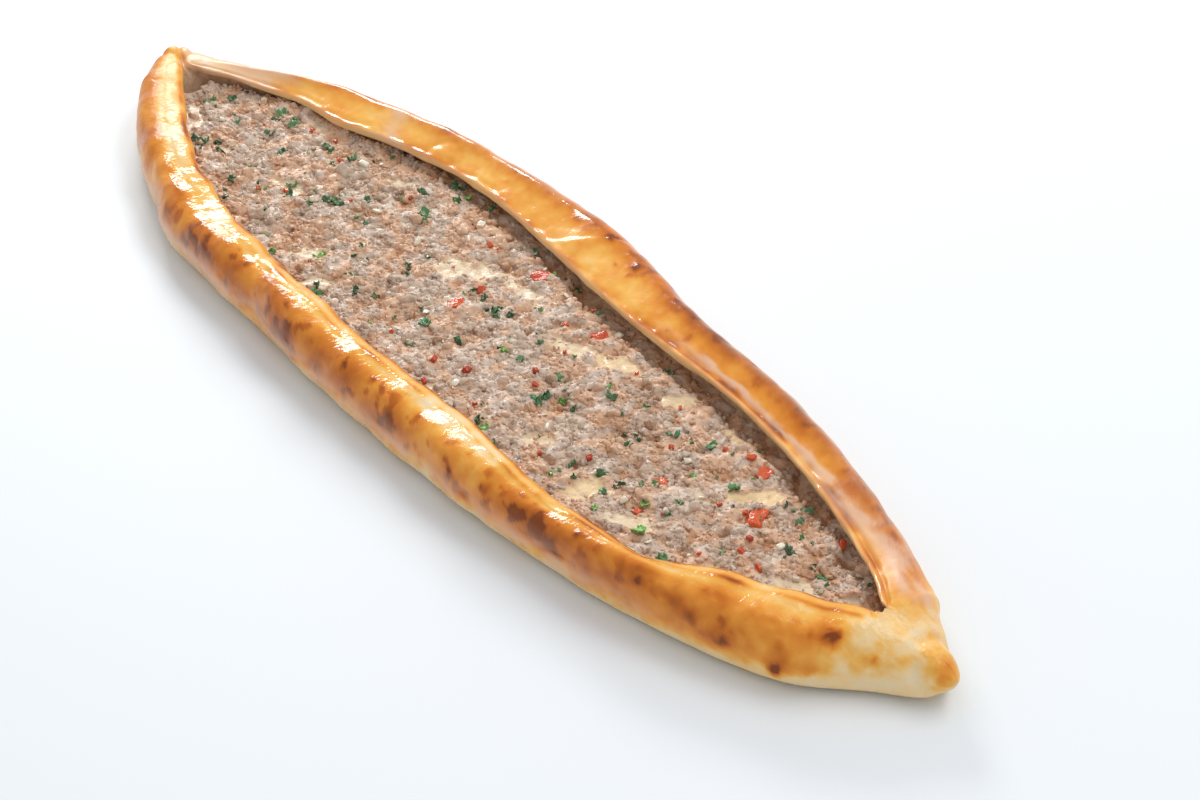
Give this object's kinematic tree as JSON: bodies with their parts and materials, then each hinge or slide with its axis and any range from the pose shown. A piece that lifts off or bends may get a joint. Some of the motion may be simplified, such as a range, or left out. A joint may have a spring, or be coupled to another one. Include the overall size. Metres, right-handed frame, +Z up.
{
  "type": "turkish pide",
  "caption": "Boat-shaped baked flatbread with folded glossy rims, pinched tips and an open filling of minced meat, diced red pepper and parsley.",
  "frame": {"origin": "middle of the bread's box, on the surface it rests on", "axes": "+X along the boat towards its pale blunt tip, +Y across it towards the broad fold, +Z up"},
  "size_m": [0.4596, 0.1324, 0.0225],
  "materials": {
    "crust": null,
    "filling": null,
    "pepper": null
  },
  "bodies": {
    "root": {"crust": "crust", "filling": "filling", "pepper_1": "pepper", "pepper_2": "pepper", "pepper_3": "pepper", "pepper_4": "pepper", "pepper_5": "pepper", "pepper_6": "pepper"}
  },
  "joints": []
}
